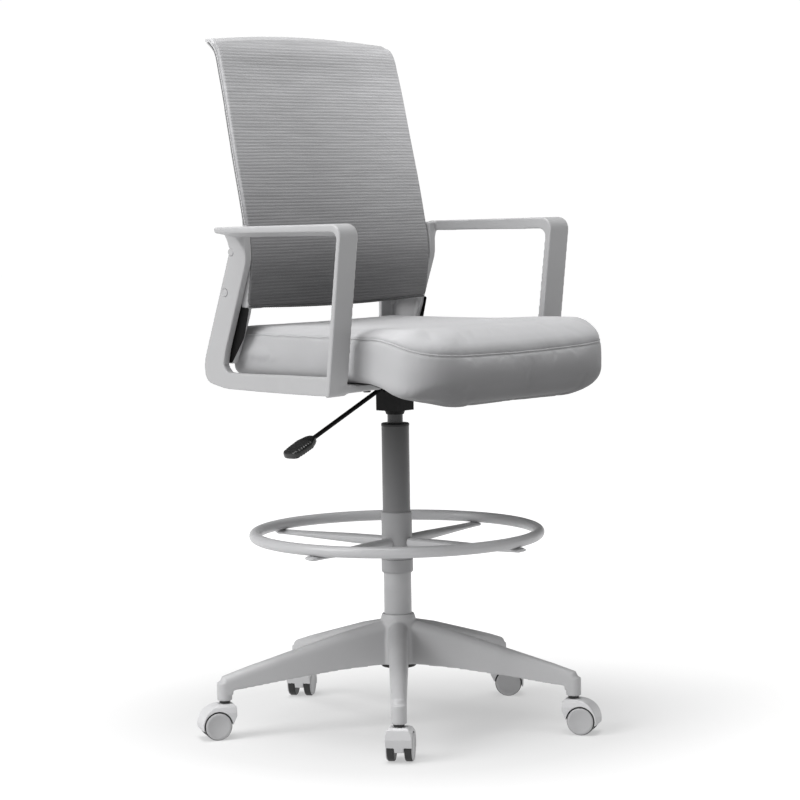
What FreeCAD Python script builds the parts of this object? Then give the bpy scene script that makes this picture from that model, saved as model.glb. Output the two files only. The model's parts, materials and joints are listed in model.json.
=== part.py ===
import FreeCAD, Part
import math
import os
import re
import Sketcher
from FreeCAD import Placement, Rotation, Vector

# Drafting chair, in millimetres. +Z is up, the chair faces -Y, and the origin is on the floor
# under the axis of the column. "right" and "left" are the sitter's, so right is -X.

SIZES = {
    # column and gas spring
    "tube_radius": 25.0,
    "tube_wall": 2.0,
    "tube_top": 544.0,
    "tube_foot": 118.0,
    "tube_foot_radius": 23.5,
    "tube_floor": 6.0,
    "cylinder_radius": 14.0,
    "cylinder_wall": 1.5,
    "cylinder_foot": 150.0,
    "cylinder_top": 614.0,
    "taper_foot": 566.0,
    "taper_top_radius": 13.2,
    "rod_radius": 5.0,
    "rod_foot": 110.0,
    "rod_top": 392.0,
    "piston_height": 16.0,
    "bush_flange": 5.0,
    "bush_length": 95.0,
    "running_gap": 0.05,
    "lift_travel": 200.0,
    "valve_radius": 3.0,
    "valve_proud": 8.0,
    # star base
    "leg_count": 5,
    "star_angle": 4.75,
    "hub_top": 204.0,
    "hub_foot": 113.0,
    "hub_top_radius": 28.5,
    "hub_foot_radius": 35.0,
    "hub_ring_height": 6.0,
    "socket_reach": 326.0,
    "socket_radius": 13.5,
    "socket_foot": 67.5,
    "socket_head": 100.0,
    "stem_radius": 5.5,
    "stem_depth": 34.0,
    "shell_wall": 3.0,
    # casters
    "wheel_radius": 25.0,
    "wheel_inner": 9.0,
    "wheel_outer": 22.2,
    "wheel_gap": 1.2,
    "trail": 17.0,
    "axle_radius": 3.0,
    "hood_width": 46.0,
    "hood_top": 62.5,
    "hood_nose": 17.0,
    "hood_skirt": 18.0,
    "pivot_radius": 4.0,
    # foot ring
    "ring_radius": 256.5,
    "ring_tube_radius": 10.0,
    "ring_height": 349.5,
    "ring_angle": 6.5,
    "ring_hub_foot": 303.3,
    "ring_hub_top": 389.0,
    "ring_hub_radius": 27.5,
    "collar_foot": 279.0,
    "collar_top": 303.0,
    "collar_radius": 28.6,
    "liner_wall": 1.15,
    "spoke_radius": 9.5,
    "spoke_flat": 4.5,
    "spoke_flat_half_width": 14.0,
    # mechanism under the seat
    "box_half_width": 24.0,
    "box_foot": 572.0,
    "box_top": 633.5,
    "box_wall": 3.0,
    "spigot_foot": 565.0,
    "spigot_foot_radius": 16.0,
    "spigot_radius": 18.5,
    "plate_top": 637.5,
    "plate_half_width": 78.0,
    "plate_half_depth": 95.0,
    "seat_bolt_x": 62.0,
    "seat_bolt_y": 80.0,
    "bolt_radius": 3.0,
    "bolt_head_radius": 6.5,
    "bolt_head_height": 4.0,
    "bolt_top": 651.0,
    # release lever
    "lever_radius": 4.0,
    "lever_pivot_x": -20.0,
    "lever_pivot_z": 620.5,
    "lever_slope": 22.4,
    "lever_reach": 226.0,
    "grip_length": 68.0,
    "grip_half_width": 20.0,
    "grip_half_height": 8.4,
    # seat
    "seat_half_width": 266.0,
    "seat_rear_half_width": 222.0,
    "seat_front": -308.0,
    "seat_rear": 204.0,
    "seat_side_foot": 641.5,
    "seat_nose_foot": 599.0,
    "seat_top": 728.0,
    "cover_top": 641.0,
    "cover_thick": 3.3,
    "board_top": 653.0,
    "soft_gap": 0.4,
    # armrests
    "arm_outer": 314.5,
    "arm_inner": 264.5,
    "post_outer": 258.0,
    "post_inner": 242.4,
    "rest_top": 909.0,
    "rest_outer_thick": 10.0,
    "rest_inner_thick": 18.5,
    "foot_tip": 165.0,
    "foot_thick": 12.0,
    # back
    "back_half_width": 241.5,
    "back_head_half_width": 236.0,
    "back_top": 1238.5,
    "back_foot": 764.5,
    "foot_arch": 8.0,
    "back_corner": 11.0,
    "back_crown": 8.0,
    "frame_depth": 12.0,
    "frame_rim": 22.0,
    "mesh_thick": 2.4,
    "bead_width": 10.0,
    "lug_thick": 12.0,
    "lug_rib_reach": 199.0,
    "lug_plate_thick": 2.2,
    "plug_radius": 6.5,
    "screw_radius": 2.5,
}

doc = FreeCAD.newDocument("drafting_chair")
sheet = doc.addObject("Spreadsheet::Sheet", "sizes")
for row, (alias, number) in enumerate(SIZES.items(), start=1):
    sheet.set(f"A{row}", alias)
    sheet.set(f"B{row}", str(number))
    sheet.setAlias(f"B{row}", alias)
doc.recompute()

Z_AXIS = Vector(0, 0, 1)
SUB_PARTS = []


# ---------------------------------------------------------------- helpers

def full(formula):
    """A formula in plain aliases, with the sheet's name put before each alias."""
    return re.sub(r"[a-z]\w*", lambda m: "sizes." + m[0] if m[0] in SIZES else m[0], str(formula))


def size(formula):
    """The number that a formula gives with the sheet's present values."""
    return float(sheet.evalExpression(full(formula)))


def sub_part(label, obj, placement=None):
    """Registers an object as a separate physical piece and puts it in its place."""
    obj.Label = label
    if placement is not None:
        obj.Placement = placement
    SUB_PARTS.append(obj)
    return obj


def outline(body, name, role, corners, shift=None):
    """Straight-sided closed sketch whose corners are bound to the sheet."""
    sketch = body.newObject("Sketcher::SketchObject", name)
    plane = next(f for f in body.Origin.OriginFeatures if f.Role == role)
    sketch.AttachmentSupport = [(plane, "")]
    sketch.MapMode = "FlatFace"
    if shift is not None:
        sketch.setExpression("AttachmentOffset.Base.z", full(shift))
    spots = [Vector(size(x), size(y), 0) for x, y in corners]
    count = len(spots)
    for i in range(count):
        sketch.addGeometry(Part.LineSegment(spots[i], spots[(i + 1) % count]), False)
    for i in range(count):
        sketch.addConstraint(Sketcher.Constraint("Coincident", i, 2, (i + 1) % count, 1))
    for i, corner in enumerate(corners):
        for kind, formula, axis in zip(("DistanceX", "DistanceY"), corner, (-2, -1)):
            if formula == "0":
                sketch.addConstraint(Sketcher.Constraint("PointOnObject", i, 1, axis))
            else:
                limit = Sketcher.Constraint(kind, -1, 1, i, 1, size(formula))
                sketch.setExpression(f"Constraints[{sketch.addConstraint(limit)}]", full(formula))
    return sketch


def new_body(label):
    body = doc.addObject("PartDesign::Body", label)
    body.Label = label
    return body


def turned(label, corners, placement=None):
    """Piece of revolution about its own Z axis, from its (radius, height) outline."""
    body = new_body(label)
    sketch = outline(body, label + "_profile", "XZ_Plane", corners)
    turn = body.newObject("PartDesign::Revolution", label + "_turn")
    turn.Profile = sketch
    turn.ReferenceAxis = (sketch, ["V_Axis"])
    turn.Angle = 360
    return sub_part(label, body, placement)


def padded(body, name, sketch, length, midplane=False):
    pad = body.newObject("PartDesign::Pad", name)
    pad.Profile = sketch
    pad.SideType = "Symmetric" if midplane else "One side"
    pad.setExpression("Length", full(length))
    return pad


def made(label, shape):
    """Piece whose shape comes from Part's own functions."""
    feature = doc.addObject("Part::Feature", label)
    feature.Shape = shape
    return sub_part(label, feature)


def rounded_wire(corners, to_space):
    """Closed wire through (u, v, radius) corners, each rounded by a tangent arc."""
    edges = []
    count = len(corners)
    flat = [Vector(u, v, 0) for u, v, _ in corners]
    ends = []
    for i, (_, _, radius) in enumerate(corners):
        back = (flat[i - 1] - flat[i]).normalize()
        ahead = (flat[(i + 1) % count] - flat[i]).normalize()
        half = back.getAngle(ahead) / 2
        run = radius / math.tan(half)
        middle = (back + ahead).normalize() * (radius / math.sin(half) - radius)
        ends.append((flat[i] + back * run, flat[i] + middle, flat[i] + ahead * run, radius))
    for i, (start, middle, end, radius) in enumerate(ends):
        if radius > 0:
            edges.append(Part.Arc(*[to_space(p.x, p.y) for p in (start, middle, end)]).toShape())
        following = ends[(i + 1) % count][0]
        edges.append(Part.LineSegment(to_space(end.x, end.y), to_space(following.x, following.y)).toShape())
    return Part.Wire(edges)


def side_face(corners, x):
    """Face in the plane at x, from (y, z, radius) corners."""
    return Part.Face(rounded_wire(corners, lambda u, v: Vector(x, u, v)))


def slab_of(corners, x_low, x_high):
    """Plate between two planes of x, from (y, z, radius) corners."""
    return side_face(corners, x_low).extrude(Vector(x_high - x_low, 0, 0))


def front_slab(corners, y_low, y_high):
    """Plate between two planes of y, from (x, z, radius) corners."""
    face = Part.Face(rounded_wire(corners, lambda u, v: Vector(u, y_low, v)))
    return face.extrude(Vector(0, y_high - y_low, 0))


def plan_slab(corners, z_low, z_high):
    """Plate between two heights, from (x, y, radius) corners."""
    face = Part.Face(rounded_wire(corners, lambda u, v: Vector(u, v, z_low)))
    return face.extrude(Vector(0, 0, z_high - z_low))


def tapered_bar(sections):
    """Loft through rectangular sections, each (y, x_low, x_high, z_low, z_high)."""
    wires = []
    for y, x_low, x_high, z_low, z_high in sections:
        spots = [(x_low, z_low), (x_high, z_low), (x_high, z_high), (x_low, z_high), (x_low, z_low)]
        wires.append(Part.makePolygon([Vector(x, y, z) for x, z in spots]))
    return Part.makeLoft(wires, True, True)


def mirrored(shape):
    return shape.mirror(Vector(0, 0, 0), Vector(1, 0, 0))


def upright_cylinders(spots, radius, z_low, z_high):
    return [Part.makeCylinder(radius, z_high - z_low, Vector(x, y, z_low)) for x, y in spots]


# ---------------------------------------------------------------- star base

def arch_wire(reach, lean, foot, height, half_width):
    """Round-topped section of a leg at its reach from the column; lean tips it towards the floor."""
    shoulder = height - half_width
    flat = [Vector(0, -half_width, 0), Vector(0, half_width, 0), Vector(0, half_width, shoulder),
            Vector(0, 0, height), Vector(0, -half_width, shoulder)]
    wire = Part.Wire([
        Part.LineSegment(flat[0], flat[1]).toShape(),
        Part.LineSegment(flat[1], flat[2]).toShape(),
        Part.Arc(flat[2], flat[3], flat[4]).toShape(),
        Part.LineSegment(flat[4], flat[0]).toShape(),
    ])
    wire.Placement = Placement(Vector(reach, 0, foot), Rotation(Vector(0, 1, 0), lean))
    return wire


def star_leg():
    """Hollow leg along +X, open underneath, with the solid boss that takes a caster stem."""
    wall, radius, boss_reach = size("shell_wall"), size("socket_radius"), size("socket_reach")
    turn_reach = boss_reach - radius
    # reach, lean, underside height, section height, half width
    path = [
        (25.0, 0, 113.2, 79.0, 17.5),
        (36.0, 0, 113.1, 77.0, 17.4),
        (110.0, 0, 109.0, 64.5, 16.5),
        (200.0, 0, 99.5, 49.0, 15.0),
        (289.0, 0, 88.0, 35.5, radius),
        (turn_reach, 35, 86.0, 2 * radius + 3, radius),
        (turn_reach, 62, 82.0, 2 * radius + 1, radius),
        (turn_reach, 90, 78.0, 2 * radius, radius),
    ]
    hollow_path = [
        (38.0, 0, 112.0 - wall, 66.0, 17.0 - wall),
        (110.0, 0, 108.0 - wall, 62.0, 16.5 - wall),
        (200.0, 0, 98.5 - wall, 46.5, 15.0 - wall),
        (292.0, 0, 87.0 - wall, 32.5, radius - wall),
    ]
    shell = Part.makeLoft([arch_wire(*station) for station in path], True, True)
    hollow = Part.makeLoft([arch_wire(*station) for station in hollow_path], True, True)
    boss_foot = Vector(boss_reach, 0, size("socket_foot"))
    boss = Part.makeCylinder(radius, size("socket_head - socket_foot"), boss_foot)
    bore = Part.makeCylinder(size("stem_radius"), size("stem_depth"), boss_foot)
    return shell.fuse(boss).cut(hollow.fuse(bore))


def star_base():
    """Turned hub fused with its ring of legs, bored out to take the tapered foot of the tube."""
    hub = turned("star_hub", [
        ("0", "hub_foot"),
        ("hub_foot_radius", "hub_foot"),
        ("hub_foot_radius", "hub_foot + 45"),
        ("hub_top_radius + 3", "hub_top - 8"),
        ("hub_top_radius", "hub_top"),
        ("0", "hub_top"),
    ])
    SUB_PARTS.remove(hub)
    doc.recompute()
    leg = star_leg()
    legs = []
    count = int(size("leg_count"))
    for i in range(count):
        turned_leg = leg.copy()
        turned_leg.rotate(Vector(), Z_AXIS, size("star_angle") + 360 * i / count)
        legs.append(turned_leg)
    taper = Part.makeCone(size("tube_foot_radius"), size("tube_radius"), size("hub_top - tube_foot"),
                          Vector(0, 0, size("tube_foot")))
    mouth = Part.makeCylinder(size("tube_foot_radius"), size("tube_foot - hub_foot + 1"),
                              Vector(0, 0, size("hub_foot - 1")))
    star = hub.Shape.fuse(legs).cut(taper.fuse(mouth))
    made("base_star", star.removeSplitter())


def outline_circle(body, name, reach, radius, shift):
    """Circle on the body's X axis, in a plane at the given height."""
    sketch = body.newObject("Sketcher::SketchObject", name)
    plane = next(f for f in body.Origin.OriginFeatures if f.Role == "XY_Plane")
    sketch.AttachmentSupport = [(plane, "")]
    sketch.MapMode = "FlatFace"
    sketch.setExpression("AttachmentOffset.Base.z", full(shift))
    sketch.addGeometry(Part.Circle(Vector(size(reach), 0, 0), Z_AXIS, size(radius)), False)
    sketch.addConstraint(Sketcher.Constraint("PointOnObject", 0, 3, -1))
    spot = sketch.addConstraint(Sketcher.Constraint("DistanceX", -1, 1, 0, 3, size(reach)))
    sketch.setExpression(f"Constraints[{spot}]", full(reach))
    width = sketch.addConstraint(Sketcher.Constraint("Radius", 0, size(radius)))
    sketch.setExpression(f"Constraints[{width}]", full(radius))
    return sketch


star_base()
turned("hub_ring", [
    ("tube_foot_radius + 0.5", "hub_foot - hub_ring_height"),
    ("hub_foot_radius - 5", "hub_foot - hub_ring_height"),
    ("hub_foot_radius - 3", "hub_foot - hub_ring_height + 2"),
    ("hub_foot_radius - 3", "hub_foot"),
    ("tube_foot_radius + 0.5", "hub_foot"),
])

# ---------------------------------------------------------------- column and gas spring

turned("column_tube", [
    ("rod_radius + running_gap", "tube_foot"),
    ("tube_foot_radius", "tube_foot"),
    ("tube_radius", "hub_top"),
    ("tube_radius", "tube_top"),
    ("tube_radius - tube_wall", "tube_top"),
    ("tube_radius - tube_wall", "hub_top"),
    ("tube_foot_radius - tube_wall", "tube_foot + tube_floor"),
    ("rod_radius + running_gap", "tube_foot + tube_floor"),
])
turned("column_bush", [
    ("cylinder_radius + running_gap", "tube_top - bush_length"),
    ("tube_radius - tube_wall", "tube_top - bush_length"),
    ("tube_radius - tube_wall", "tube_top"),
    ("tube_radius + 0.4", "tube_top"),
    ("tube_radius + 0.4", "tube_top + bush_flange - 1.5"),
    ("tube_radius - 1", "tube_top + bush_flange"),
    ("cylinder_radius + running_gap", "tube_top + bush_flange"),
])
turned("rod_clip", [
    ("rod_radius - 1", "tube_foot - 5"),
    ("rod_radius + 4.5", "tube_foot - 5"),
    ("rod_radius + 4.5", "tube_foot - 2"),
    ("rod_radius - 1", "tube_foot - 2"),
])
turned("piston_rod", [
    ("0", "rod_foot"),
    ("rod_radius", "rod_foot"),
    ("rod_radius", "tube_foot - 5"),
    ("rod_radius - 1", "tube_foot - 5"),
    ("rod_radius - 1", "tube_foot - 2"),
    ("rod_radius", "tube_foot - 2"),
    ("rod_radius", "rod_top - piston_height"),
    ("rod_radius - 1.5", "rod_top - piston_height"),
    ("rod_radius - 1.5", "rod_top"),
    ("0", "rod_top"),
])
turned("piston_head", [
    ("rod_radius - 1.5", "rod_top - piston_height"),
    ("cylinder_radius - cylinder_wall - running_gap", "rod_top - piston_height"),
    ("cylinder_radius - cylinder_wall - running_gap", "rod_top"),
    ("rod_radius - 1.5", "rod_top"),
])


def thrust_bearing():
    """Lower race on the tube's floor, with its ring of balls as separate solids."""
    floor = size("tube_foot + tube_floor")
    race_height = 2.0
    ball_radius = 1.6
    ball_orbit = 11.5
    ball_count = 12
    race = Part.makeCylinder(15, race_height, Vector(0, 0, floor))
    race = race.cut(Part.makeCylinder(size("rod_radius") + 1, race_height, Vector(0, 0, floor)))
    solids = [race]
    for i in range(ball_count):
        turn = 2 * math.pi * i / ball_count
        spot = Vector(ball_orbit * math.cos(turn), ball_orbit * math.sin(turn),
                      floor + race_height + ball_radius)
        solids.append(Part.makeSphere(ball_radius, spot))
    made("thrust_bearing", Part.makeCompound(solids))


thrust_bearing()
turned("thrust_race", [
    ("rod_radius", "tube_foot + tube_floor + 5.25"),
    ("15", "tube_foot + tube_floor + 5.25"),
    ("15", "tube_foot + tube_floor + 7.25"),
    ("rod_radius", "tube_foot + tube_floor + 7.25"),
])
turned("bump_stop", [
    ("rod_radius", "tube_foot + tube_floor + 7.25"),
    ("13", "tube_foot + tube_floor + 7.25"),
    ("11", "cylinder_foot - 0.3"),
    ("rod_radius", "cylinder_foot - 0.3"),
])
turned("gas_cylinder", [
    ("rod_radius + running_gap", "cylinder_foot"),
    ("cylinder_radius", "cylinder_foot"),
    ("cylinder_radius", "taper_foot"),
    ("taper_top_radius", "cylinder_top"),
    ("valve_radius + running_gap", "cylinder_top"),
    ("valve_radius + running_gap", "cylinder_top - 8"),
    ("taper_top_radius - 2", "cylinder_top - 8"),
    ("cylinder_radius - cylinder_wall", "taper_foot - 5"),
    ("cylinder_radius - cylinder_wall", "cylinder_foot + 12"),
    ("rod_radius + running_gap", "cylinder_foot + 12"),
])
turned("valve_pin", [
    ("0", "cylinder_top - 14"),
    ("valve_radius", "cylinder_top - 14"),
    ("valve_radius", "cylinder_top + valve_proud - 1"),
    ("valve_radius - 1", "cylinder_top + valve_proud"),
    ("0", "cylinder_top + valve_proud"),
])

# ---------------------------------------------------------------- foot ring

turned("ring_liner", [
    ("tube_radius + running_gap", "collar_foot + 1"),
    ("tube_radius + running_gap + liner_wall", "collar_foot + 1"),
    ("tube_radius + running_gap + liner_wall", "ring_hub_top - 2"),
    ("tube_radius + running_gap", "ring_hub_top - 2"),
])
turned("foot_ring_hub", [
    ("tube_radius + 2 * running_gap + liner_wall", "ring_hub_foot"),
    ("ring_hub_radius", "ring_hub_foot"),
    ("ring_hub_radius", "ring_hub_top - 1.5"),
    ("ring_hub_radius - 1.2", "ring_hub_top"),
    ("tube_radius + running_gap", "ring_hub_top"),
    ("tube_radius + running_gap", "ring_hub_top - 1.9"),
    ("tube_radius + 2 * running_gap + liner_wall", "ring_hub_top - 1.9"),
])
turned("ring_lock_collar", [
    ("tube_radius + 2 * running_gap + liner_wall", "collar_foot"),
    ("collar_radius - 1.2", "collar_foot"),
    ("collar_radius", "collar_foot + 2"),
    ("collar_radius", "collar_top - 1"),
    ("collar_radius - 0.8", "collar_top"),
    ("tube_radius + 2 * running_gap + liner_wall", "collar_top"),
])


def foot_ring():
    ring = doc.addObject("Part::Torus", "foot_ring")
    ring.setExpression("Radius1", full("ring_radius"))
    ring.setExpression("Radius2", full("ring_tube_radius"))
    ring.Placement = Placement(Vector(0, 0, size("ring_height")), Rotation())
    sub_part("foot_ring", ring)


def foot_ring_spokes():
    """Four tubes, round at the hub and pressed flat where the ring stands on them."""
    flat = size("spoke_flat")
    flat_top = size("ring_height - ring_tube_radius")
    flat_height = flat_top - flat
    hub_height = flat_height - 1.5
    root = size("ring_hub_radius") - 0.4
    stations = [
        (root, hub_height, size("spoke_radius"), size("spoke_radius")),
        (root + 70, hub_height + 0.3, size("spoke_radius") - 0.6, size("spoke_radius") + 1),
        (size("ring_radius") - 40, flat_height, flat + 0.6, size("spoke_flat_half_width") - 1),
        (size("ring_radius") - 12, flat_height + 0.3, flat, size("spoke_flat_half_width")),
        (size("ring_radius") + 4, flat_height + 0.3, flat, size("spoke_flat_half_width")),
        (size("ring_radius") + 12, flat_height + 0.3, flat * 0.5, size("spoke_flat_half_width") * 0.6),
    ]
    wires = []
    for reach, height, half_height, half_width in stations:
        centre = Vector(reach, 0, height)
        side_end = centre + Vector(0, half_width + 0.01, 0)
        wires.append(Part.Wire(Part.Ellipse(side_end, centre + Vector(0, 0, half_height), centre).toShape()))
    spoke = Part.makeLoft(wires, True, True)
    solids = []
    for i in range(4):
        turned_spoke = spoke.copy()
        turned_spoke.rotate(Vector(), Z_AXIS, size("ring_angle") + 90 * i)
        solids.append(turned_spoke)
    made("foot_ring_spokes", Part.makeCompound(solids))


foot_ring()
foot_ring_spokes()

# ---------------------------------------------------------------- casters

def caster_hood(label, placement):
    body = new_body(label)
    reach = size("trail")
    centre_height = size("wheel_radius")
    shell = size("wheel_radius + wheel_gap") + 2.6
    top = size("hood_top")
    nose = size("hood_nose")
    skirt = size("hood_skirt")
    sketch = body.newObject("Sketcher::SketchObject", label + "_side")
    plane = next(f for f in body.Origin.OriginFeatures if f.Role == "XZ_Plane")
    sketch.AttachmentSupport = [(plane, "")]
    sketch.MapMode = "FlatFace"
    tail = Vector(reach + math.sqrt(shell ** 2 - (skirt - centre_height) ** 2), skirt, 0)
    flank_turn = math.radians(20)
    flank = Vector(reach + shell * math.cos(flank_turn), centre_height + shell * math.sin(flank_turn), 0)
    brow = Vector(6, top, 0)
    shoulder = Vector(reach + 15, centre_height + 29, 0)
    spots = [Vector(-5, skirt, 0), tail, flank, brow, Vector(4 - nose, top, 0),
             Vector(-nose, top - 4, 0), Vector(-nose, 42, 0)]
    sketch.addGeometry(Part.LineSegment(spots[0], spots[1]), False)
    middle_turn = (math.atan2(skirt - centre_height, tail.x - reach) + flank_turn) / 2
    middle = Vector(reach + shell * math.cos(middle_turn), centre_height + shell * math.sin(middle_turn), 0)
    sketch.addGeometry(Part.Arc(spots[1], middle, spots[2]), False)
    sketch.addGeometry(Part.Arc(spots[2], shoulder, spots[3]), False)
    for i in range(3, 7):
        sketch.addGeometry(Part.LineSegment(spots[i], spots[(i + 1) % 7]), False)
    padded(body, label + "_block", sketch, "hood_width", midplane=True)
    for side, name in ((1, "_right_arch"), (-1, "_left_arch")):
        arch = body.newObject("Sketcher::SketchObject", label + name)
        arch.AttachmentSupport = [(plane, "")]
        arch.MapMode = "FlatFace"
        offset = side * size("wheel_inner - 0.6")
        arch.AttachmentOffset = Placement(Vector(0, 0, offset), Rotation())
        arch.addGeometry(Part.Circle(Vector(reach, centre_height, 0), Z_AXIS,
                                     size("wheel_radius + wheel_gap")), False)
        cut = body.newObject("PartDesign::Pocket", label + name + "_cut")
        cut.Profile = arch
        cut.Reversed = side > 0
        cut.Length = size("hood_width") / 2
    axle = body.newObject("Sketcher::SketchObject", label + "_axle")
    axle.AttachmentSupport = [(plane, "")]
    axle.MapMode = "FlatFace"
    axle.addGeometry(Part.Circle(Vector(reach, centre_height, 0), Z_AXIS, size("axle_radius")), False)
    hole = body.newObject("PartDesign::Pocket", label + "_axle_hole")
    hole.Profile = axle
    hole.Midplane = True
    hole.Length = size("hood_width")
    for side in ("-", ""):
        shoulder_cut = outline(body, f"{label}_shoulder{side}", "YZ_Plane", [
            (f"{side}(hood_width / 2 + 1)", "hood_top - 18"),
            (f"{side}(hood_width / 2 - 0.6)", "hood_top - 12"),
            (f"{side}(hood_width / 2 - 3.5)", "hood_top - 4.5"),
            (f"{side}(hood_width / 2 - 8.5)", "hood_top + 1"),
            (f"{side}(hood_width / 2 + 1)", "hood_top + 1"),
        ])
        trim = body.newObject("PartDesign::Pocket", f"{label}_trim{side}")
        trim.Profile = shoulder_cut
        trim.Midplane = True
        trim.Length = 200
    pivot = outline_circle(body, label + "_pivot", "0", "pivot_radius + running_gap", "hood_top")
    bore = body.newObject("PartDesign::Pocket", label + "_pivot_bore")
    bore.Profile = pivot
    bore.Length = 28
    return sub_part(label, body, placement)


def caster(number, star_turn, trail_turn):
    """Twin-wheel caster under one leg; its wheels trail towards trail_turn, in degrees about +Z."""
    label = f"caster_{number}"
    reach = size("socket_reach")
    angle = math.radians(size("star_angle") + star_turn)
    here = Placement(Vector(reach * math.cos(angle), reach * math.sin(angle), 0),
                     Rotation(Z_AXIS, trail_turn))
    turned(label + "_stem", [
        ("0", "hood_top - 26"),
        ("pivot_radius", "hood_top - 26"),
        ("pivot_radius", "hood_top + 0.6"),
        ("stem_radius + 4", "hood_top + 0.6"),
        ("stem_radius + 4", "socket_foot - 0.4"),
        ("stem_radius", "socket_foot - 0.4"),
        ("stem_radius", "socket_foot + stem_depth - 2"),
        ("stem_radius - 2", "socket_foot + stem_depth - 0.2"),
        ("0", "socket_foot + stem_depth - 0.2"),
    ], here)
    caster_hood(label + "_hood", here)
    axle_height = size("wheel_radius")
    across = Placement(Vector(size("trail"), 0, axle_height), Rotation(Vector(1, 0, 0), -90))
    axle = doc.addObject("Part::Cylinder", label + "_axle")
    axle.setExpression("Radius", full("axle_radius"))
    axle.setExpression("Height", full("2 * wheel_outer - 6"))
    drop = Placement(Vector(0, 0, -size("wheel_outer - 3")), Rotation())
    sub_part(label + "_axle", axle, here * across * drop)
    for side, flip in (("left", 0), ("right", 180)):
        outward = Placement(Vector(), Rotation(Vector(1, 0, 0), flip))
        turned(f"{label}_wheel_{side}", [
            ("axle_radius + running_gap", "wheel_inner"),
            ("wheel_radius - 1.5", "wheel_inner"),
            ("wheel_radius", "wheel_inner + 1.5"),
            ("wheel_radius", "wheel_outer - 2.5"),
            ("wheel_radius - 1.2", "wheel_outer - 0.8"),
            ("wheel_radius - 4", "wheel_outer"),
            ("0", "wheel_outer + 0.6"),
            ("0", "wheel_outer - 2.5"),
            ("axle_radius + running_gap", "wheel_outer - 2.5"),
        ], here * across * outward)


# trail direction of each caster, in degrees about +Z, counted with the legs
TRAIL_TURNS = (-52, 29, 149, 33, -67)
for index, trail in enumerate(TRAIL_TURNS):
    caster(index + 1, index * 360 / len(TRAIL_TURNS), trail)

# ---------------------------------------------------------------- mechanism under the seat

SEAT_BOLTS = [(sx * size("seat_bolt_x"), sy * size("seat_bolt_y")) for sx in (-1, 1) for sy in (-1, 1)]


def square(half):
    return [(f"-{half}", f"-({half})"), (half, f"-({half})"), (half, half), (f"-({half})", half)]


def mechanism():
    """Pressed box with the tapered socket for the gas cylinder; its open top is shut by the plate."""
    body = new_body("mechanism_body")
    half = "box_half_width"
    box = outline(body, "box_square", "XY_Plane", square(half), shift="box_foot")
    padded(body, "box", box, "box_top - box_foot")
    inside = outline(body, "box_inside", "XY_Plane", square("(box_half_width - box_wall)"), shift="box_top")
    pocket = body.newObject("PartDesign::Pocket", "box_room")
    pocket.Profile = inside
    pocket.setExpression("Length", full("box_top - box_foot - box_wall"))
    doc.recompute()
    socket = outline(body, "socket_profile", "XZ_Plane", [
        ("5", "spigot_foot"),
        ("spigot_foot_radius", "spigot_foot"),
        ("spigot_radius", "box_foot"),
        ("spigot_radius", "lever_pivot_z - 10"),
        ("5", "lever_pivot_z - 10"),
    ])
    turn = body.newObject("PartDesign::Revolution", "socket")
    turn.Profile = socket
    turn.ReferenceAxis = (socket, ["V_Axis"])
    turn.Angle = 360
    taper = outline(body, "taper_profile", "XZ_Plane", [
        ("0", "spigot_foot - 5"),
        ("cylinder_radius", "spigot_foot - 5"),
        ("cylinder_radius", "taper_foot"),
        ("taper_top_radius", "cylinder_top"),
        ("0", "cylinder_top"),
    ])
    bore = body.newObject("PartDesign::Groove", "taper_bore")
    bore.Profile = taper
    bore.ReferenceAxis = (taper, ["V_Axis"])
    bore.Angle = 360
    doc.recompute()
    slot = outline(body, "lever_slot", "YZ_Plane", [
        ("-6", "lever_pivot_z - 14"), ("6", "lever_pivot_z - 14"), ("6", "box_top"), ("-6", "box_top"),
    ], shift="-box_half_width - 1")
    window = body.newObject("PartDesign::Pocket", "lever_window")
    window.Profile = slot
    window.Reversed = True
    window.Length = 1 + size("box_wall") + 1
    pin = body.newObject("Sketcher::SketchObject", "pin_circle")
    plane = next(f for f in body.Origin.OriginFeatures if f.Role == "XZ_Plane")
    pin.AttachmentSupport = [(plane, "")]
    pin.MapMode = "FlatFace"
    pin.addGeometry(Part.Circle(Vector(size("lever_pivot_x"), size("lever_pivot_z"), 0), Z_AXIS, 2.0), False)
    hole = body.newObject("PartDesign::Pocket", "pin_hole")
    hole.Profile = pin
    hole.Midplane = True
    hole.Length = 60
    sub_part("mechanism_body", body)


mechanism()


def seat_plate():
    """Flat steel plate bolted under the seat board, with bolt holes near its corners."""
    half_x = size("plate_half_width")
    half_y = size("plate_half_depth")
    low, high = size("box_top"), size("plate_top")
    corners = [(-half_x, -half_y, 14), (half_x, -half_y, 14), (half_x, half_y, 14), (-half_x, half_y, 14)]
    plate = plan_slab(corners, low, high)
    for hole in upright_cylinders(SEAT_BOLTS, size("bolt_radius") + 0.3, low, high):
        plate = plate.cut(hole)
    made("seat_plate", plate)


seat_plate()

LEVER_PIVOT = Vector(size("lever_pivot_x"), 0, size("lever_pivot_z"))
lever_pin = doc.addObject("Part::Cylinder", "lever_pin")
lever_pin.Radius = 2.0
lever_pin.setExpression("Height", full("2 * box_half_width"))
sub_part("lever_pin", lever_pin,
         Placement(LEVER_PIVOT - Vector(0, size("box_half_width"), 0), Rotation(Vector(1, 0, 0), -90)))


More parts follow.
